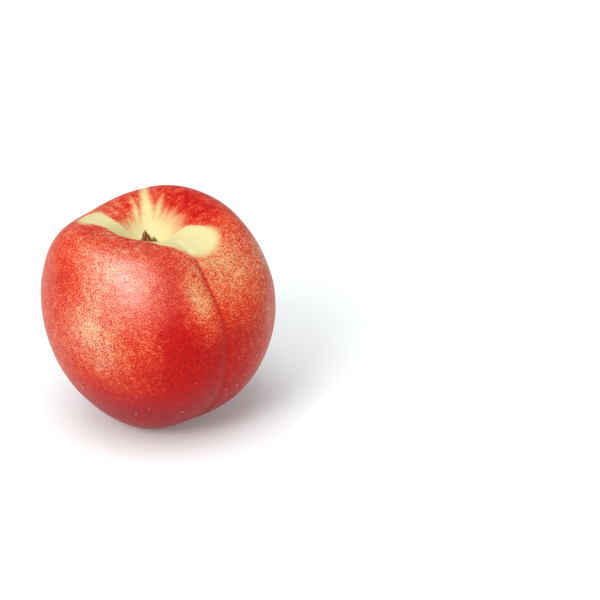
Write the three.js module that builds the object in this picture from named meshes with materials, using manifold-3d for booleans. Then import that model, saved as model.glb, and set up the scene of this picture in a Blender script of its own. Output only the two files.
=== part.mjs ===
// A whole ripe peach with a smooth skin, standing on the small flat spot under its tip.
// Millimetres, +Z up. The stem cavity is on top, and the suture, the fruit's one seam,
// faces the front right. The origin is the middle of the bottom of the fruit's box, on
// the surface that it rests on.

import Module from 'manifold-3d';
import * as THREE from 'three';
import { mergeVertices } from 'three/addons/utils/BufferGeometryUtils.js';

// ---- The fruit ----

// Half widths of the plain ball that the fruit's form starts from.
const BALL = new THREE.Vector3(37.7, 38.0, 38.7);
const BALL_AROUND = 64;
const BALL_DOWN = 56;

// Places on the fruit are a bearing, in degrees round from +X, and a polar angle, in
// degrees down from the stem. A swell moves the skin there by `move`, fading to nothing
// at `reach`.
const SWELLS = [
  { name: 'cavity dish', bearing: 0, polar: 0, move: [-2.0, 0.0, -12.0], reach: 32 },
  { name: 'cavity funnel', bearing: 0, polar: 0, move: [-1.0, 0.0, -7.0], reach: 13 },
  { name: 'far shoulder', bearing: 80, polar: 36, move: [0.0, 0.0, 4.0], reach: 30 },
  { name: 'right shoulder', bearing: 15, polar: 48, move: [-1.0, 0.0, 1.5], reach: 26 },
  { name: 'front left shoulder', bearing: -150, polar: 42, move: [-4.0, -1.0, 0.5], reach: 26 },
  { name: 'left cheek', bearing: 185, polar: 72, move: [-1.0, 1.0, 3.0], reach: 28 },
  { name: 'front lip', bearing: -70, polar: 30, move: [1.0, 0.0, 0.8], reach: 16 },
  { name: 'suture mouth', bearing: -48, polar: 47, move: [-2.0, 1.5, -5.5], reach: 30 },
  { name: 'lower left flat', bearing: 195, polar: 128, move: [1.0, -0.5, -1.0], reach: 26 },
  { name: 'far left flat', bearing: 125, polar: 85, move: [0.7, -1.0, 0.0], reach: 30 },
  { name: 'tip', bearing: -100, polar: 168, move: [-1.5, -1.5, -1.5], reach: 28 },
];

// The suture is a fine crease down one meridian, which opens into a soft valley on the
// lower half of the fruit.
const SUTURE_BEARING = -52;
const SUTURE_CREASE = { from: 14, to: 172, depth: 0.35, reach: 2.4 };
const SUTURE_VALLEY = { from: 95, to: 172, depth: 0.9, reach: 12 };

// How far up the rounded bottom is pressed flat, where the fruit rests.
const FLAT_DEPTH = 0.9;

// ---- The stem ----

// The stub is a short round stem whose top is torn to a splinter. Heights are measured
// from the floor of the stem cavity.
const STUB_RADIUS = 2.3;
const STUB_SUNK = 2.0;
const STUB_SIDES = 16;
const COLLAR_HEIGHT = 1.2;
const NECK_HEIGHT = 2.6;
const NECK_RADIUS = 1.75;
const BREAK_HEIGHT = 4.1;
const BREAK_RADIUS = 1.45;
const SHOULDER_HEIGHT = 5.6;
const SHOULDER_RADIUS = 0.9;
const SPLINTER_HEIGHT = 6.9;
const SPLINTER_LEAN = -1.0;
const SPLINTER_FALL = 1.1;
const SPLINTER_FLATTENING = 0.35;

// What touches is kept this far apart, so the two solids never share a surface.
const GAP = 0.3;

// The cutter for the stub's socket ends in the open air of the cavity, this far above
// its floor.
const SOCKET_CLEARANCE = 4;

// The bark flaps are two scraps of the twig's bark, which lean in on the stub.
const FLAP_THICKNESS = 0.5;
const FLAP_BASE = 1.5;
const FLAP_LEAN = 0.95;
const FLAP_NARROWING = 0.55;
const FLAP_STEPS = 4;
const FLAP_CURVE_SEGMENTS = 6;
const FLAPS = [
  { name: 'bark_flap_left', bearing: 190, span: 84, height: 2.0, colour: 0x4a2412 },
  { name: 'bark_flap_right', bearing: -12, span: 104, height: 2.5, colour: 0x8f9a3a },
];

const wasm = await Module();
wasm.setup();

// ---- Solids ----

function mergedPositions(geometry) {
  const bare = geometry.clone();
  bare.deleteAttribute('normal');
  bare.deleteAttribute('uv');
  return mergeVertices(bare, 1e-4);
}

function solidFrom(geometry) {
  const merged = mergedPositions(geometry);
  const mesh = new wasm.Mesh({
    numProp: 3,
    vertProperties: new Float32Array(merged.attributes.position.array),
    triVerts: new Uint32Array(merged.index.array),
  });
  return new wasm.Manifold(mesh);
}

function geometryFrom(solid) {
  const mesh = solid.getMesh();
  const geometry = new THREE.BufferGeometry();
  geometry.setAttribute('position', new THREE.BufferAttribute(mesh.vertProperties, 3));
  geometry.setIndex(new THREE.BufferAttribute(mesh.triVerts, 1));
  geometry.computeVertexNormals();
  return geometry;
}

function pieceFrom(name, geometry, colour, roughness) {
  const material = new THREE.MeshStandardMaterial({ color: colour, roughness, metalness: 0 });
  const mesh = new THREE.Mesh(geometry, material);
  mesh.name = name;
  return mesh;
}

// ---- The fruit's form ----

function direction(bearing, polar) {
  const round = THREE.MathUtils.degToRad(bearing);
  const down = THREE.MathUtils.degToRad(polar);
  return new THREE.Vector3(
    Math.sin(down) * Math.cos(round),
    Math.sin(down) * Math.sin(round),
    Math.cos(down),
  );
}

// 1 at the middle of a swell, 0 at its reach, and level at both ends.
function fade(distance, reach) {
  return THREE.MathUtils.smoothstep(1 - distance / reach, 0, 1);
}

function pointsOf(geometry) {
  const position = geometry.attributes.position;
  return Array.from({ length: position.count }, (_, i) => (
    new THREE.Vector3().fromBufferAttribute(position, i)
  ));
}

function setPoints(geometry, points) {
  points.forEach((point, i) => geometry.attributes.position.setXYZ(i, ...point));
  geometry.computeVertexNormals();
}

function nearest(directions, wanted) {
  let best = 0;
  directions.forEach((candidate, i) => {
    if (candidate.dot(wanted) > directions[best].dot(wanted)) best = i;
  });
  return best;
}

function swell(points, directions, { bearing, polar, move, reach }) {
  const centre = points[nearest(directions, direction(bearing, polar))].clone();
  const shift = new THREE.Vector3(...move);
  for (const point of points) {
    point.addScaledVector(shift, fade(point.distanceTo(centre), reach));
  }
}

// Sinks the skin along the suture's meridian, between two polar angles.
function crease(geometry, points, directions, { from, to, depth, reach }) {
  setPoints(geometry, points);
  const normals = geometry.attributes.normal;
  const line = [];
  for (let ring = 0; ring <= BALL_DOWN; ring += 1) {
    const polar = (ring / BALL_DOWN) * 180;
    if (polar >= from && polar <= to) {
      line.push(points[nearest(directions, direction(SUTURE_BEARING, polar))].clone());
    }
  }
  points.forEach((point, i) => {
    const distance = Math.min(...line.map((other) => other.distanceTo(point)));
    const inward = new THREE.Vector3().fromBufferAttribute(normals, i).negate();
    point.addScaledVector(inward, depth * fade(distance, reach));
  });
}

// A ball whose first meridian lies along the suture, swelled and creased to the fruit.
function fruitForm() {
  const firstMeridian = THREE.MathUtils.degToRad(SUTURE_BEARING + 180);
  const ball = new THREE.SphereGeometry(1, BALL_AROUND, BALL_DOWN, firstMeridian);
  ball.rotateX(Math.PI / 2);
  const geometry = mergedPositions(ball);
  const directions = pointsOf(geometry);
  const points = directions.map((point) => point.clone().multiply(BALL));
  for (const place of SWELLS) swell(points, directions, place);
  crease(geometry, points, directions, SUTURE_CREASE);
  crease(geometry, points, directions, SUTURE_VALLEY);
  const restHeight = Math.min(...points.map((point) => point.z)) + FLAT_DEPTH;
  for (const point of points) point.z = Math.max(point.z, restHeight);
  setPoints(geometry, points);
  return { geometry, restHeight, cavityFloor: points[nearest(directions, direction(0, 0))] };
}

// ---- The stem's form ----

// The stub stands at x = y = 0 with z = 0 on the cavity floor.
function stubForm() {
  const profile = [
    new THREE.Vector2(0, -STUB_SUNK),
    new THREE.Vector2(STUB_RADIUS, -STUB_SUNK),
    new THREE.Vector2(STUB_RADIUS, COLLAR_HEIGHT),
    new THREE.Vector2(NECK_RADIUS, NECK_HEIGHT),
    new THREE.Vector2(BREAK_RADIUS, BREAK_HEIGHT),
    new THREE.Vector2(SHOULDER_RADIUS, SHOULDER_HEIGHT),
    new THREE.Vector2(0, SPLINTER_HEIGHT),
  ];
  const geometry = new THREE.LatheGeometry(profile, STUB_SIDES);
  geometry.rotateX(Math.PI / 2);
  const points = pointsOf(geometry);
  for (const point of points) {
    const torn = Math.max(0, point.z - NECK_HEIGHT) / (SPLINTER_HEIGHT - NECK_HEIGHT);
    point.z -= SPLINTER_FALL * torn * Math.max(0, point.x);
    point.y *= 1 - SPLINTER_FLATTENING * torn;
    point.x += SPLINTER_LEAN * torn;
  }
  setPoints(geometry, points);
  return mergedPositions(geometry);
}

// A curved scrap, as wide as `span` degrees of the stub's girth at its foot, that leans
// in as it rises and narrows to a blunt point.
function flapForm({ bearing, span, height }) {
  const inner = STUB_RADIUS + GAP;
  const outer = inner + FLAP_THICKNESS;
  const half = THREE.MathUtils.degToRad(span / 2);
  const section = new THREE.Shape();
  section.absarc(0, 0, outer, -half, half, false);
  section.absarc(0, 0, inner, half, -half, true);
  section.closePath();
  const geometry = new THREE.ExtrudeGeometry(section, {
    depth: height,
    steps: FLAP_STEPS,
    curveSegments: FLAP_CURVE_SEGMENTS,
    bevelEnabled: false,
  });
  const points = pointsOf(geometry);
  for (const point of points) {
    const rise = point.z / height;
    const radius = Math.hypot(point.x, point.y) - FLAP_LEAN * rise * rise;
    const angle = Math.atan2(point.y, point.x) * (1 - FLAP_NARROWING * rise * rise);
    point.set(radius * Math.cos(angle), radius * Math.sin(angle), point.z);
  }
  setPoints(geometry, points);
  geometry.rotateZ(THREE.MathUtils.degToRad(bearing));
  geometry.translate(0, 0, FLAP_BASE);
  return mergedPositions(geometry);
}

// ---- Assembly ----

const { geometry: form, restHeight, cavityFloor } = fruitForm();

// The socket holds the stub's foot, with the gap all round and under it.
const socketDepth = STUB_SUNK + GAP;
const socket = new THREE.CylinderGeometry(
  STUB_RADIUS + GAP, STUB_RADIUS + GAP, SOCKET_CLEARANCE + socketDepth, STUB_SIDES,
);
socket.rotateX(Math.PI / 2);
socket.rotateZ(THREE.MathUtils.degToRad(SUTURE_BEARING) + Math.PI / BALL_AROUND);
const socketMiddle = cavityFloor.z + (SOCKET_CLEARANCE - socketDepth) / 2;
socket.translate(cavityFloor.x, cavityFloor.y, socketMiddle);

const fruitSolid = solidFrom(form).subtract(solidFrom(socket));
const fruit = pieceFrom('fruit', geometryFrom(fruitSolid), 0xd2382c, 0.42);

const stub = pieceFrom('stem_stub', stubForm(), 0x7a4218, 0.8);
const flaps = FLAPS.map((flap) => pieceFrom(flap.name, flapForm(flap), flap.colour, 0.8));

const stem = new THREE.Group();
stem.position.copy(cavityFloor);
stem.add(stub, ...flaps);

const group = new THREE.Group();
group.add(fruit, stem);

fruit.geometry.computeBoundingBox();
const middle = fruit.geometry.boundingBox.getCenter(new THREE.Vector3());
group.position.set(-middle.x, -middle.y, -restHeight);

export default group;
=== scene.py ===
import math
import random

import bmesh
import bpy
import numpy as np
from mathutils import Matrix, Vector


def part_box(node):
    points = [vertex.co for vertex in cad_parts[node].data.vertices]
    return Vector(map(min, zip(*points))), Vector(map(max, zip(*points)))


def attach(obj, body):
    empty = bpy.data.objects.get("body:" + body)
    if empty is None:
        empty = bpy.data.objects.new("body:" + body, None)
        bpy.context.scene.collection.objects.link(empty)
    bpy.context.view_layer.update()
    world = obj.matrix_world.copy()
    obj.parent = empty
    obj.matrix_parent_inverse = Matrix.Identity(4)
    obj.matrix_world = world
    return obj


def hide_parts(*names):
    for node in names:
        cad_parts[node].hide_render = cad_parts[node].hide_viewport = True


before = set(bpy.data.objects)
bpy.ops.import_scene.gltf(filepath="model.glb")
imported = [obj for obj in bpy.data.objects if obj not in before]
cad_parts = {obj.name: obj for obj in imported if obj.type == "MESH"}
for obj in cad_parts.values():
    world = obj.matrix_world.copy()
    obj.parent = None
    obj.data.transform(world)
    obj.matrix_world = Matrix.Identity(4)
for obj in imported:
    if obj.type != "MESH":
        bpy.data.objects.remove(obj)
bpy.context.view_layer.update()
bpy.ops.object.select_all(action="DESELECT")

MM = 0.001


# ---------------------------------------------------------------- The table and the light
# The peach stands on a plain white table top, which glows a little, in a bright room: a
# white surround, a soft window in front at the left, and a wide lamp high over the front.

LOOK_AT = Vector((45.9, 0.0, 40.7)) * MM
CAMERA_DISTANCE = 700 * MM
CAMERA_ABOVE = math.radians(25)
CAMERA_LENS = 129.4
TABLE_SIZE = 6.0
TABLE_WHITE = (0.76, 0.80, 0.80, 1)
TABLE_GLOW = 0.15
ROOM_WHITE = (0.97, 0.98, 1.0, 1)
ROOM_STRENGTH = 0.40

back_and_up = Vector((0, -math.cos(CAMERA_ABOVE), math.sin(CAMERA_ABOVE)))
bpy.ops.object.camera_add(
    location=LOOK_AT + back_and_up * CAMERA_DISTANCE,
    rotation=(math.pi / 2 - CAMERA_ABOVE, 0, 0),
)
camera = bpy.context.object
camera.name = "camera"
camera.data.lens = CAMERA_LENS
camera.data.sensor_width = 36
camera.data.clip_start = 0.01
bpy.context.scene.camera = camera

room = bpy.data.worlds.new("white_room")
room.use_nodes = True
room.node_tree.nodes["Background"].inputs["Color"].default_value = ROOM_WHITE
room.node_tree.nodes["Background"].inputs["Strength"].default_value = ROOM_STRENGTH
bpy.context.scene.world = room

bpy.ops.mesh.primitive_plane_add(size=TABLE_SIZE)
table = bpy.context.object
table.name = "table_top"
table_white = bpy.data.materials.new("table_white")
table_white.use_nodes = True
table_shader = table_white.node_tree.nodes["Principled BSDF"]
table_shader.inputs["Base Color"].default_value = TABLE_WHITE
table_shader.inputs["Roughness"].default_value = 0.6
table_shader.inputs["Specular IOR Level"].default_value = 0.1
table_shader.inputs["Emission Color"].default_value = (1.0, 1.0, 1.0, 1)
table_shader.inputs["Emission Strength"].default_value = TABLE_GLOW
table.data.materials.append(table_white)


def soft_light(name, bearing, height, distance, size, power, colour):
    """A square soft light that looks at the middle of the fruit."""
    round_, up = math.radians(bearing), math.radians(height)
    away = Vector((
        math.cos(up) * math.cos(round_),
        math.cos(up) * math.sin(round_),
        math.sin(up),
    ))
    middle = Vector((0, 0, 45)) * MM
    bpy.ops.object.light_add(type="AREA", location=middle + away * distance)
    light = bpy.context.object
    light.name = name
    light.rotation_euler = away.to_track_quat("Z", "Y").to_euler()
    light.data.size = size
    light.data.energy = power
    light.data.color = colour


soft_light("window_left", -119, 37, 4.0, 1.5, 86, (1.0, 0.99, 0.98))
soft_light("lamp_above", -112, 72, 4.0, 3.2, 118, (1.0, 1.0, 1.0))

scene_view = bpy.context.scene.view_settings
scene_view.view_transform = "Standard"
scene_view.look = "None"


# ---------------------------------------------------------------- The fruit
# Skin and flesh grown as one piece, with a stem cavity on top, a crease down one side
# and a blunt tip that it rests on. It starts as a ball whose first meridian lies along
# the suture, and is pulled into shape swell by swell, as with a soft brush.

BALL_SEGMENTS = 360
BALL_RINGS = 240
BALL = Vector((37.7, 38.0, 38.7)) * MM
SUTURE_BEARING = -52

# A place on the fruit is a bearing, in degrees round from +X, and a polar angle, in
# degrees down from the stem. Each swell moves the skin there by so many millimetres,
# fading to nothing at its reach.
SWELLS = (
    # name, bearing, polar, move, reach
    ("cavity dish", 0, 0, (-2.0, 0.0, -12.0), 32),
    ("cavity funnel", 0, 0, (-1.0, 0.0, -7.0), 13),
    ("far shoulder", 80, 36, (0.0, 0.0, 4.0), 30),
    ("right shoulder", 15, 48, (-1.0, 0.0, 1.5), 26),
    ("front left shoulder", -150, 42, (-4.0, -1.0, 0.5), 26),
    ("left cheek", 185, 72, (-1.0, 1.0, 3.0), 28),
    ("front lip", -70, 30, (1.0, 0.0, 0.8), 16),
    ("crease in the front lip", -120, 34, (0.0, 0.0, -0.5), 8),
    ("lip before the stem", -95, 27, (0.0, 0.0, -0.4), 9),
    ("suture mouth", -48, 47, (-2.0, 1.5, -5.5), 30),
    ("lower left flat", 195, 128, (1.0, -0.5, -1.0), 26),
    ("far left flat", 125, 85, (0.7, -1.0, 0.0), 30),
    ("tip", -100, 168, (-1.5, -1.5, -1.5), 28),
)

# The suture is a fine crease, which opens into a soft valley on the lower half.
SUTURE_GROOVES = (
    # name, from polar, to polar, depth, reach
    ("suture crease", 14, 172, 0.35, 2.4),
    ("suture valley", 95, 172, 0.9, 12),
)
FLAT_DEPTH = 0.9 * MM


def direction(bearing, polar):
    """The direction from the ball's middle to a place on it."""
    round_, down = math.radians(bearing), math.radians(polar)
    return Vector((
        math.sin(down) * math.cos(round_),
        math.sin(down) * math.sin(round_),
        math.cos(down),
    ))


def select_points(piece, wanted):
    """Selects those vertices of the piece in edit mode, by number, and no others."""
    bpy.ops.mesh.select_all(action="DESELECT")
    mesh = bmesh.from_edit_mesh(piece.data)
    mesh.verts.ensure_lookup_table()
    for number in wanted:
        mesh.verts[number].select = True
    mesh.select_flush_mode()
    bmesh.update_edit_mesh(piece.data)


def points_of(piece):
    """The piece's vertices as an array, read in object mode."""
    flat = np.empty(3 * len(piece.data.vertices))
    piece.data.vertices.foreach_get("co", flat)
    return flat.reshape(-1, 3)


def edit(piece):
    """Goes into edit mode on that piece alone, picking vertices."""
    bpy.ops.object.select_all(action="DESELECT")
    piece.select_set(True)
    bpy.context.view_layer.objects.active = piece
    bpy.ops.object.mode_set(mode="EDIT")
    bpy.ops.mesh.select_mode(type="VERT")


bpy.ops.mesh.primitive_uv_sphere_add(
    segments=BALL_SEGMENTS, ring_count=BALL_RINGS, radius=1.0, location=(0, 0, 0),
)
fruit = bpy.context.object
fruit.name = "peach_fruit"
fruit.data.name = "peach_fruit"
born = points_of(fruit)
born /= np.linalg.norm(born, axis=1, keepdims=True)
birthplace = fruit.data.attributes.new("birthplace", "FLOAT_VECTOR", "POINT")
birthplace.data.foreach_set("vector", born.ravel())

edit(fruit)
bpy.ops.mesh.select_all(action="SELECT")
bpy.ops.transform.resize(value=BALL)
for _name, bearing, polar, move, reach in SWELLS:
    select_points(fruit, [int(np.argmax(born @ np.array(direction(bearing, polar))))])
    bpy.ops.transform.translate(
        value=Vector(move) * MM,
        use_proportional_edit=True,
        proportional_edit_falloff="SMOOTH",
        proportional_size=reach * MM,
    )

born_polar = np.degrees(np.arccos(np.clip(born[:, 2], -1, 1)))
born_bearing = np.degrees(np.arctan2(born[:, 1], born[:, 0]))
on_suture = np.abs(born_bearing - SUTURE_BEARING) < 0.25
for _name, start, end, depth, reach in SUTURE_GROOVES:
    select_points(fruit, np.flatnonzero(on_suture & (born_polar >= start) & (born_polar <= end)))
    bpy.ops.transform.shrink_fatten(
        value=-depth * MM,
        use_proportional_edit=True,
        proportional_edit_falloff="SMOOTH",
        proportional_size=reach * MM,
    )
bpy.ops.object.mode_set(mode="OBJECT")

# A grown skin is never quite even: it has broad, very shallow hollows.
unevenness = bpy.data.textures.new("unevenness", "CLOUDS")
unevenness.noise_scale = 16 * MM
unevenness.noise_depth = 1
displace = fruit.modifiers.new("unevenness", "DISPLACE")
displace.texture = unevenness
displace.texture_coords = "LOCAL"
displace.strength = 0.3 * MM
displace.mid_level = 0.5
bpy.ops.object.modifier_apply(modifier=displace.name)

# The bottom is pressed flat where it rests, and the whole fruit is set in its CAD box.
shape = points_of(fruit)
rest_height = shape[:, 2].min() + FLAT_DEPTH
edit(fruit)
select_points(fruit, np.flatnonzero(shape[:, 2] < rest_height))
bpy.ops.transform.resize(value=(1, 1, 0), center_override=(0, 0, rest_height))
bpy.ops.object.mode_set(mode="OBJECT")
shape = points_of(fruit)
fruit_low, fruit_high = (np.array(corner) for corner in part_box("fruit"))
low, high = shape.min(axis=0), shape.max(axis=0)
edit(fruit)
bpy.ops.mesh.select_all(action="SELECT")
bpy.ops.transform.resize(value=(fruit_high - fruit_low) / (high - low), center_override=low)
bpy.ops.transform.translate(value=fruit_low - low)
bpy.ops.object.mode_set(mode="OBJECT")

# The stem's socket: the skin stops at the stub and turns down round its foot.
stub_low, stub_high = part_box("stem_stub")
STUB_RADIUS = 2.3 * MM
STUB_SUNK = 2.0 * MM
SOCKET_RADIUS = STUB_RADIUS + 0.15 * MM
stem_x = stub_high.x - STUB_RADIUS
stem_y = (stub_low.y + stub_high.y) / 2
floor_z = stub_low.z + STUB_SUNK
shape = points_of(fruit)
from_stem = np.hypot(shape[:, 0] - stem_x, shape[:, 1] - stem_y)
in_socket = np.flatnonzero((from_stem < SOCKET_RADIUS) & (shape[:, 2] > floor_z - 5 * MM))
edit(fruit)
select_points(fruit, in_socket)
bpy.ops.mesh.extrude_region_move(
    TRANSFORM_OT_translate={"value": (0, 0, -STUB_SUNK - 0.3 * MM)},
)
bpy.ops.transform.resize(value=(1, 1, 0), center_override=(stem_x, stem_y, stub_low.z - 0.3 * MM))
bpy.ops.object.mode_set(mode="OBJECT")
bpy.ops.object.shade_smooth()


# What the skin carries is laid on its points as values that its material reads: how red it is
# (low down partly painted shade), how warm the pale ground is, the bare band and rays round
# the stem, the suture.

RED_BY_NATURE = 0.80
BLUSH = (
    # name, bearing, polar, half width, half height, change
    ("yellow shoulder by the suture", -34, 47, 18, 16, -0.27),
    ("right shoulder", 0, 62, 13, 13, -0.20),
    ("yellow left of the suture", -62, 62, 6, 12, -0.36),
    ("under the yellow shoulder", -30, 68, 12, 12, -0.04),
    ("right side mottle", -18, 84, 8, 14, -0.14),
    ("cream cheek", -122, 80, 14, 13, -0.34),
    ("cream cheek's tail", -112, 97, 9, 9, -0.16),
    ("front, under the lip", -106, 55, 24, 14, -0.16),
    ("left of the lip", -128, 45, 14, 10, -0.14),
    ("left dark patch", -143, 60, 9, 10, 0.16),
    ("front red band", -77, 74, 9, 28, 0.26),
    # The next two spots are partly the skin's own red and partly painted shade, deepening the red
    # on the lower front and beside the suture's valley.
    ("red foot of the suture", -60, 100, 28, 20, 0.36),
    ("lower red", -100, 128, 50, 20, 0.30),
    ("far wall red", 38, 27, 24, 11, 0.22),
    ("shade side", 118, 88, 34, 30, -0.46),
    ("shade side, low", 70, 118, 22, 18, -0.20),
    ("tip", -100, 172, 22, 16, -0.34),
)
RUBBED_SMOOTH = (
    ("front of the shoulder", -100, 58, 30, 20, 1.0),
)
WARMTH = (
    ("by the suture", -44, 56, 26, 24, 1.0),
    ("front", -95, 70, 30, 30, 0.45),
    ("shade side", 110, 90, 45, 40, 0.4),
)

# Where a twig lay across the shoulder, no light came and the skin stayed cream. The band
# and the rays are runs of round spots, placed in degrees from the stem along X and Y.
BARE_BAND = ((-29, 4, 6.5), (-20, 0, 5), (-5, -4, 8), (10, -12, 12), (21, -13.5, 12))
BARE_RAYS = (
    ((-1, 7, 4), (-4, 16, 1.8), (-6.5, 25, 0.6), (-9.5, 38, 0.4)),
    ((1, 7, 2), (3, 24, -1.8)),
    ((-6, 8, 1), (-15.5, 27, -2.4)),
)


def in_degrees_from(bearing, polar):
    """How far each point is from a place, across and down, in degrees of arc."""
    turn = (born_bearing - bearing + 180) % 360 - 180
    return turn * np.sin(np.radians(np.maximum(born_polar, 8))), born_polar - polar


def soft_spots(spots):
    """The sum of soft round spots over the skin."""
    total = np.zeros(len(born_polar))
    for _name, bearing, polar, half_width, half_height, change in spots:
        across, down = in_degrees_from(bearing, polar)
        total += change * np.exp(-((across / half_width) ** 2) - (down / half_height) ** 2)
    return total


def depth_inside(run):
    """Degrees inside the outline of a run of round spots, and negative outside it."""
    plan_x = born_polar * np.cos(np.radians(born_bearing))
    plan_y = born_polar * np.sin(np.radians(born_bearing))
    deepest = np.full(len(plan_x), -60.0)
    for (x0, y0, r0), (x1, y1, r1) in zip(run, run[1:]):
        step_x, step_y = x1 - x0, y1 - y0
        along = ((plan_x - x0) * step_x + (plan_y - y0) * step_y) / (step_x**2 + step_y**2)
        along = np.clip(along, 0, 1)
        away = np.hypot(plan_x - x0 - along * step_x, plan_y - y0 - along * step_y)
        deepest = np.maximum(deepest, r0 + along * (r1 - r0) - away)
    return deepest


def lay_on(piece, name, values):
    """Lays one value on each of the piece's points, for its material to read."""
    layer = piece.data.attributes.new(name, "FLOAT", "POINT")
    layer.data.foreach_set("value", values)


flat = np.empty(3 * len(fruit.data.vertices))
fruit.data.attributes["birthplace"].data.foreach_get("vector", flat)
born = flat.reshape(-1, 3)
born_polar = np.degrees(np.arccos(np.clip(born[:, 2], -1, 1)))
born_bearing = np.degrees(np.arctan2(born[:, 1], born[:, 0]))
turn_from_suture, _down = in_degrees_from(SUTURE_BEARING, 90)
lay_on(fruit, "blush", RED_BY_NATURE + soft_spots(BLUSH))
lay_on(fruit, "warmth", soft_spots(WARMTH))
lay_on(fruit, "rubbed_smooth", soft_spots(RUBBED_SMOOTH))
lay_on(fruit, "bare_band", depth_inside(BARE_BAND))
lay_on(fruit, "bare_rays", np.max([depth_inside(run) for run in BARE_RAYS], axis=0))
lay_on(fruit, "polar", born_polar)
lay_on(fruit, "suture", np.exp(-((turn_from_suture / 1.1) ** 2)))
spokes = fruit.data.attributes.new("spokes", "FLOAT_VECTOR", "POINT")
outward = np.column_stack([
    np.cos(np.radians(born_bearing)), np.sin(np.radians(born_bearing)), born_polar / 60,
])
spokes.data.foreach_set("vector", outward.ravel())
fruit.data.attributes.remove(fruit.data.attributes["birthplace"])


# The skin: cream ground, red in fine dots that run together where the sun reached it,
# and a thin waxy bloom that shows as a pale rim. Towards the bottom a darker, bluer red
# is painted on as shade.

CREAM = (0.66, 0.62, 0.34, 1)
CREAM_DEEP = (0.68, 0.60, 0.26, 1)
BARE_EDGE = (0.72, 0.34, 0.15, 1)
CREAM_PINK = (0.74, 0.46, 0.29, 1)
YELLOW = (0.76, 0.42, 0.17, 1)
FLUSH = (0.72, 0.115, 0.045, 1)
RED = (0.60, 0.006, 0.002, 1)
DEEP_RED = (0.34, 0.001, 0.0005, 1)
DOT_STRENGTH = 0.92
DOT_DARK = (0.20, 0.010, 0.005, 1)
DOT_RED = (0.48, 0.008, 0.003, 1)
SUTURE_RED = (0.42, 0.010, 0.005, 1)
# Painted shade: the darker, bluer red laid over the fruit's underside.
UNDERSIDE_SHADE_RED = (0.28, 0.004, 0.011, 1)
PORE = (0.86, 0.62, 0.52, 1)


class Shading:
    """Adds nodes to one material and links them, so that a finish reads as a recipe."""

    def __init__(self, name):
        self.material = bpy.data.materials.new(name)
        self.material.use_nodes = True
        self.tree = self.material.node_tree
        self.shader = self.tree.nodes["Principled BSDF"]
        self.place = self.tree.nodes.new("ShaderNodeTexCoord").outputs["Object"]

    def put(self, socket, value):
        if isinstance(value, bpy.types.NodeSocket):
            self.tree.links.new(value, socket)
        else:
            socket.default_value = value

    def read(self, name, vector=False):
        node = self.tree.nodes.new("ShaderNodeAttribute")
        node.attribute_name = name
        return node.outputs["Vector" if vector else "Fac"]

    def sum(self, operation, first, second=0.0, third=0.0):
        node = self.tree.nodes.new("ShaderNodeMath")
        node.operation = operation
        for socket, value in zip(node.inputs, (first, second, third)):
            self.put(socket, value)
        return node.outputs[0]

    def noise(self, size, detail=2.0, vector=None, roughness=0.5):
        """Noise from 0 to 1 with features of that size, in metres on the piece."""
        node = self.tree.nodes.new("ShaderNodeTexNoise")
        self.put(node.inputs["Vector"], vector or self.place)
        node.inputs["Scale"].default_value = 1 / size
        node.inputs["Detail"].default_value = detail
        node.inputs["Roughness"].default_value = roughness
        return node.outputs["Fac"]

    def cells(self, size, vector=None):
        """The distance to the nearest cell centre, in cells, and that cell's own colour."""
        node = self.tree.nodes.new("ShaderNodeTexVoronoi")
        self.put(node.inputs["Vector"], vector or self.place)
        node.inputs["Scale"].default_value = 1 / size
        return node.outputs["Distance"], node.outputs["Color"]

    def rise(self, value, start, end, low=0.0, high=1.0):
        """Goes smoothly from low to high as the value goes from start to end."""
        node = self.tree.nodes.new("ShaderNodeMapRange")
        node.interpolation_type = "SMOOTHSTEP"
        for socket, number in zip(node.inputs, (value, start, end, low, high)):
            self.put(socket, number)
        return node.outputs[0]

    def blend(self, factor, first, second):
        node = self.tree.nodes.new("ShaderNodeMix")
        node.data_type = "RGBA"
        self.put(node.inputs[0], factor)
        self.put(node.inputs[6], first)
        self.put(node.inputs[7], second)
        return node.outputs[2]

    def bump(self, height, depth, strength=1.0, normal=None):
        node = self.tree.nodes.new("ShaderNodeBump")
        node.inputs["Strength"].default_value = strength
        node.inputs["Distance"].default_value = depth
        self.put(node.inputs["Height"], height)
        if normal:
            self.put(node.inputs["Normal"], normal)
        return node.outputs[0]


def shift(skin, value, noise, amount):
    """The value, moved up and down by a noise, by up to half the amount each way."""
    return skin.sum("MULTIPLY_ADD", skin.sum("SUBTRACT", noise, 0.5), amount, value)


skin = Shading("peach_skin")
blush = shift(skin, skin.read("blush"), skin.noise(9 * MM, 3), 0.30)
blush = shift(skin, blush, skin.noise(2.0 * MM, 3), 0.46)
radial = skin.noise(0.11, 3, skin.read("spokes", vector=True))
near_stem = skin.rise(skin.read("polar"), 46, 26)
blush = skin.sum("MULTIPLY_ADD", skin.sum("MULTIPLY", near_stem, 0.9),
                 skin.sum("SUBTRACT", radial, 0.5), blush)

ground = skin.blend(skin.read("warmth"), CREAM_PINK, YELLOW)
ground = skin.blend(skin.rise(blush, 0.30, 0.86), ground, FLUSH)
ground = skin.blend(skin.rise(blush, 0.74, 1.12), ground, RED)
dot_colour = skin.blend(skin.rise(blush, 0.25, 0.75), DOT_DARK, DOT_RED)
dot_colour = skin.blend(skin.rise(blush, 0.80, 1.20), dot_colour, DEEP_RED)

distance, _cell = skin.cells(0.45 * MM)
ragged = shift(skin, distance, skin.noise(0.24 * MM, 2), 0.50)
dot_size = skin.rise(blush, -0.1, 1.0, 0.16, 0.58)
dots = skin.rise(skin.sum("SUBTRACT", dot_size, ragged), -0.07, 0.07)
colour = skin.blend(skin.sum("MULTIPLY", dots, DOT_STRENGTH), ground, dot_colour)

suture_red = skin.sum("MULTIPLY", skin.read("suture"), skin.rise(skin.read("polar"), 30, 42))
colour = skin.blend(skin.sum("MULTIPLY", suture_red, 0.85), colour, SUTURE_RED)

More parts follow.
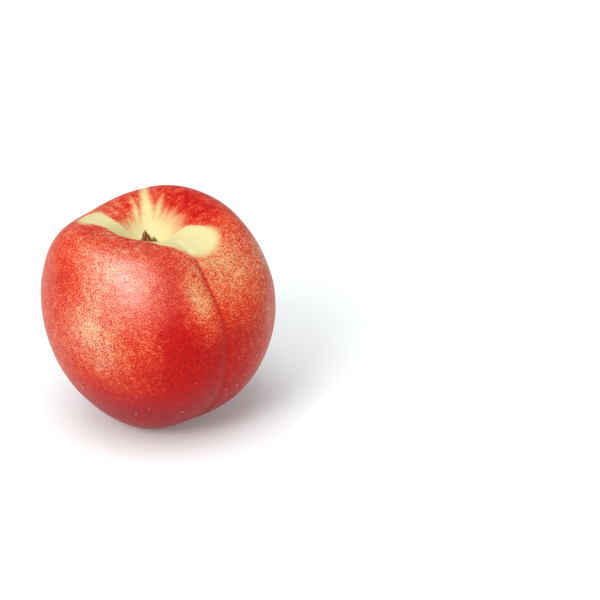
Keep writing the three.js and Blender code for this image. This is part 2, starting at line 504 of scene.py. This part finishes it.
wisps = shift(skin, skin.read("bare_band"), skin.noise(2.2 * MM, 3), 2.4)
fading_out = skin.rise(skin.read("polar"), 24, 35, -1.0, -5.0)
bare = skin.rise(wisps, fading_out, 1.6)
ray_wisps = shift(skin, skin.read("bare_rays"), radial, 1.6)
ray_wisps = shift(skin, ray_wisps, skin.noise(1.6 * MM, 3), 2.4)
bare = skin.sum("MAXIMUM", bare, skin.rise(ray_wisps, -3.4, 2.0))
floor_edge = shift(skin, skin.read("polar"), radial, 5)
bare = skin.sum("MAXIMUM", bare, skin.rise(floor_edge, 18.5, 7))
bare_colour = skin.blend(skin.noise(6 * MM, 2), CREAM, CREAM_DEEP)
bare_edge = skin.blend(bare, colour, BARE_EDGE)
colour = skin.blend(bare, bare_edge, bare_colour)

# Painted shade: towards the bottom the skin is blended into a darker, bluer red.
painted_underside_shade = skin.rise(skin.read("polar"), 103, 134)
colour = skin.blend(skin.sum("MULTIPLY", painted_underside_shade, 0.75), colour, UNDERSIDE_SHADE_RED)
pore_distance, pore_cell = skin.cells(2.6 * MM)
pore_size = skin.rise(pore_cell, 0.35, 0.85, 0.02, 0.11)
pores = skin.rise(skin.sum("SUBTRACT", pore_size, pore_distance), -0.02, 0.03)
pores = skin.sum("MULTIPLY", pores, skin.rise(skin.read("polar"), 90, 118))
colour = skin.blend(skin.sum("MULTIPLY", pores, 0.85), colour, PORE)

skin.put(skin.shader.inputs["Base Color"], colour)
skin.put(skin.shader.inputs["Roughness"], skin.rise(skin.noise(1.1 * MM, 2), 0.2, 0.8, 0.32, 0.46))
grain = skin.bump(skin.noise(0.75 * MM, 3), 0.12 * MM, 0.6)
grain = skin.bump(ragged, 0.06 * MM, 0.5, grain)
skin.put(skin.shader.inputs["Normal"], grain)
shine = skin.rise(skin.read("rubbed_smooth"), 0.0, 1.0, 0.12, 0.95)
skin.put(skin.shader.inputs["Specular IOR Level"], shine)
skin.shader.inputs["Sheen Weight"].default_value = 0.03
skin.shader.inputs["Sheen Roughness"].default_value = 0.4
skin.shader.inputs["Sheen Tint"].default_value = (1.0, 0.82, 0.90, 1)
fruit.data.materials.append(skin.material)

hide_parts("fruit")
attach(fruit, "root")


# ---------------------------------------------------------------- The stem stub
# The short end of the fruit's own stem, torn off the twig. Its foot is a round plug in
# the socket, and its top is a tuft of brown wood fibres that tore at different heights.

random.seed(4)
SPLINTERS = 21
TUFT_HALF_WIDTH = 1.85 * MM
PLUG_ABOVE_FLOOR = 1.6 * MM
SHORTEST_SPLINTER = 2.8 * MM
TEAR_HEIGHT = stub_high.z - floor_z


def finish_piece(piece, name):
    """Names the piece and its mesh, and puts its place into the mesh."""
    piece.name = name
    piece.data.name = name
    bpy.ops.object.transform_apply(location=True, rotation=True, scale=True)


bpy.ops.object.select_all(action="DESELECT")
bpy.ops.mesh.primitive_cylinder_add(
    vertices=40,
    radius=STUB_RADIUS - 0.1 * MM,
    depth=STUB_SUNK + PLUG_ABOVE_FLOOR,
    location=(stem_x, stem_y, stub_low.z + (STUB_SUNK + PLUG_ABOVE_FLOOR) / 2),
)
stub = bpy.context.object
bpy.ops.object.transform_apply(location=True)
bpy.ops.object.mode_set(mode="EDIT")
bpy.ops.mesh.select_mode(type="FACE")
bpy.ops.mesh.select_all(action="DESELECT")
mesh = bmesh.from_edit_mesh(stub.data)
top = max(mesh.faces, key=lambda face: face.calc_center_median().z)
top.select = True
bmesh.update_edit_mesh(stub.data)
for rise, narrowing in ((0.5, 0.90), (0.5, 0.86)):
    bpy.ops.mesh.extrude_region_move(TRANSFORM_OT_translate={"value": (0, 0, rise * MM)})
    bpy.ops.transform.resize(value=(narrowing, narrowing, 1))
bpy.ops.object.mode_set(mode="OBJECT")

# Each splinter is a slim cone from inside the plug. They are tallest left of the middle
# and fall away to the right.
peak_x = stub_low.x - stem_x + 1.1 * MM
for number in range(SPLINTERS):
    across = (number / (SPLINTERS - 1) * 2 - 1) * TUFT_HALF_WIDTH
    depth = random.uniform(-0.75, 0.75) * MM
    fall = abs(across - peak_x * 0.62)
    height = TEAR_HEIGHT - 0.1 * MM - fall * 0.95 - random.uniform(0, 0.7) * MM
    height = max(SHORTEST_SPLINTER, height)
    bpy.ops.object.select_all(action="DESELECT")
    bpy.ops.mesh.primitive_cone_add(
        vertices=7,
        radius1=random.uniform(0.6, 0.85) * MM,
        radius2=random.uniform(0.10, 0.20) * MM,
        depth=height,
        location=(stem_x + across, stem_y + depth, floor_z + height / 2),
    )
    splinter = bpy.context.object
    bpy.ops.object.transform_apply(location=True)
    # The tops lean together, towards the peak.
    bpy.ops.object.mode_set(mode="EDIT")
    tip_points = [v.index for v in splinter.data.vertices if v.co.z > floor_z + height * 0.9]
    select_points(splinter, tip_points)
    lean = (peak_x * 0.62 - across) * 0.35 + peak_x * 0.10
    bpy.ops.transform.translate(value=(lean, -depth * 0.55, 0))
    bpy.ops.object.mode_set(mode="OBJECT")
    splinter.select_set(True)
    stub.select_set(True)
    bpy.context.view_layer.objects.active = stub
    bpy.ops.object.join()

fuse = stub.modifiers.new("fuse", "REMESH")
fuse.mode = "VOXEL"
fuse.voxel_size = 0.10 * MM
bpy.ops.object.modifier_apply(modifier=fuse.name)
fibres = bpy.data.textures.new("fibres", "CLOUDS")
fibres.noise_scale = 0.5 * MM
fray = stub.modifiers.new("fray", "DISPLACE")
fray.texture = fibres
fray.texture_coords = "LOCAL"
fray.strength = 0.16 * MM
bpy.ops.object.modifier_apply(modifier=fray.name)
bpy.ops.object.shade_smooth()
finish_piece(stub, "peach_stem_stub")

# The wood is dark brown with paler fibres, and green bark is left round its foot.
GREEN_BARK = (0.42, 0.40, 0.08, 1)
WOOD = (0.33, 0.12, 0.028, 1)
WOOD_PALE = (0.64, 0.33, 0.06, 1)
WOOD_DARK = (0.045, 0.012, 0.005, 1)

wood = Shading("torn_stem_wood")
stretch = wood.tree.nodes.new("ShaderNodeMapping")
stretch.inputs["Scale"].default_value = (1, 1, 0.22)
wood.put(stretch.inputs["Vector"], wood.place)
grain_lines = wood.noise(0.42 * MM, 3, stretch.outputs[0])
split = wood.tree.nodes.new("ShaderNodeSeparateXYZ")
wood.put(split.inputs[0], wood.place)
height_here = split.outputs["Z"]
colour = wood.blend(wood.rise(grain_lines, 0.36, 0.62), WOOD_DARK, WOOD)
colour = wood.blend(wood.rise(grain_lines, 0.58, 0.78), colour, WOOD_PALE)
low_edge = shift(wood, height_here, wood.noise(0.9 * MM), 1.2 * MM)
greenness = wood.rise(low_edge, floor_z + 3.0 * MM, floor_z + 1.9 * MM)
colour = wood.blend(greenness, colour, GREEN_BARK)
wood.put(wood.shader.inputs["Base Color"], colour)
wood.shader.inputs["Roughness"].default_value = 0.85
wood.put(wood.shader.inputs["Normal"], wood.bump(grain_lines, 0.12 * MM, 0.8))
stub.data.materials.append(wood.material)

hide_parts("stem_stub")
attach(stub, "root")


# ---------------------------------------------------------------- The bark flaps
# Two scraps of the twig's bark that came away with the stem, one on each side of the
# stub. They have dried and lean in on it, with ragged dark brown edges.

FLAP_WALL = 0.42 * MM
FLAP_CLEARANCE = 0.3 * MM
FLAP_LEVELS = 8
BARK_PALE = (0.60, 0.50, 0.14, 1)
BARK_DRY = (0.075, 0.022, 0.008, 1)
FLAP_LEAN = 0.95 * MM
FLAPS = (
    # CAD node, bearing, span in degrees, share of green
    ("bark_flap_left", 190, 84, 0.15),
    ("bark_flap_right", -12, 104, 0.55),
)


def bark_material(name, low, high, share):
    """Green bark that dries to dark brown along its torn top edge."""
    bark = Shading(name)
    part = bark.tree.nodes.new("ShaderNodeSeparateXYZ")
    bark.put(part.inputs[0], bark.place)
    edge = shift(bark, part.outputs["Z"], bark.noise(0.5 * MM, 3), 1.1 * MM)
    dried = bark.rise(edge, low + (high - low) * share, low + (high - low) * (share + 0.22))
    mottle = bark.rise(bark.noise(0.4 * MM, 3), 0.35, 0.7)
    colour = bark.blend(dried, bark.blend(mottle, GREEN_BARK, BARK_PALE), BARK_DRY)
    bark.put(bark.shader.inputs["Base Color"], colour)
    bark.shader.inputs["Roughness"].default_value = 0.75
    bark.put(bark.shader.inputs["Normal"], bark.bump(bark.noise(0.3 * MM, 3), 0.08 * MM, 0.8))
    return bark.material


for node, bearing, span, share in FLAPS:
    low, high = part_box(node)
    height = high.z - low.z
    bpy.ops.object.select_all(action="DESELECT")
    bpy.ops.mesh.primitive_cylinder_add(
        vertices=90,
        radius=STUB_RADIUS + FLAP_CLEARANCE + 0.25 * MM,
        depth=height,
        end_fill_type="NOTHING",
        location=(stem_x, stem_y, low.z + height / 2),
    )
    flap = bpy.context.object
    bpy.ops.object.transform_apply(location=True)
    middle = Vector((math.cos(math.radians(bearing)), math.sin(math.radians(bearing)), 0))
    bpy.ops.object.mode_set(mode="EDIT")
    bpy.ops.mesh.select_mode(type="FACE")
    bpy.ops.mesh.select_all(action="DESELECT")
    mesh = bmesh.from_edit_mesh(flap.data)
    for face in mesh.faces:
        out = face.calc_center_median() - Vector((stem_x, stem_y, low.z + height / 2))
        face.select = out.normalized().dot(middle) < math.cos(math.radians(span / 2))
    bmesh.update_edit_mesh(flap.data)
    bpy.ops.mesh.delete(type="FACE")
    bpy.ops.mesh.select_all(action="SELECT")
    bpy.ops.mesh.subdivide(number_cuts=FLAP_LEVELS - 1)
    bpy.ops.object.mode_set(mode="OBJECT")

    # The top leans in and narrows, and its edge is left ragged.
    for step in range(1, FLAP_LEVELS + 1):
        edit(flap)
        level = low.z + height * step / FLAP_LEVELS
        above = [v.index for v in flap.data.vertices if v.co.z > level - height / 16]
        select_points(flap, above)
        lean = middle * (FLAP_LEAN * (2 * step - 1) / FLAP_LEVELS**2)
        bpy.ops.transform.translate(value=-lean)
        narrow = 1 - 0.055 * step / 4
        bpy.ops.transform.resize(
            value=(1, narrow, 1), center_override=(stem_x, stem_y, 0),
        )
        bpy.ops.object.mode_set(mode="OBJECT")
    top_points = [v.index for v in flap.data.vertices if v.co.z > high.z - height / 16]
    edit(flap)
    for number in top_points[::3]:
        select_points(flap, [number])
        bpy.ops.transform.translate(
            value=(0, 0, -random.uniform(0.0, 0.45) * height),
            use_proportional_edit=True,
            proportional_edit_falloff="SMOOTH",
            proportional_size=0.5 * MM,
        )
    bpy.ops.object.mode_set(mode="OBJECT")
    wall = flap.modifiers.new("wall", "SOLIDIFY")
    wall.thickness = FLAP_WALL
    wall.offset = 0
    bpy.ops.object.modifier_apply(modifier=wall.name)
    soften = flap.modifiers.new("soften", "SUBSURF")
    soften.levels = 1
    soften.render_levels = 1
    bpy.ops.object.modifier_apply(modifier=soften.name)
    bpy.ops.object.shade_smooth()
    finish_piece(flap, "peach_" + node)
    flap.data.materials.append(bark_material("bark_" + node[10:], low.z, high.z, share))
    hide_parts(node)
    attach(flap, "root")
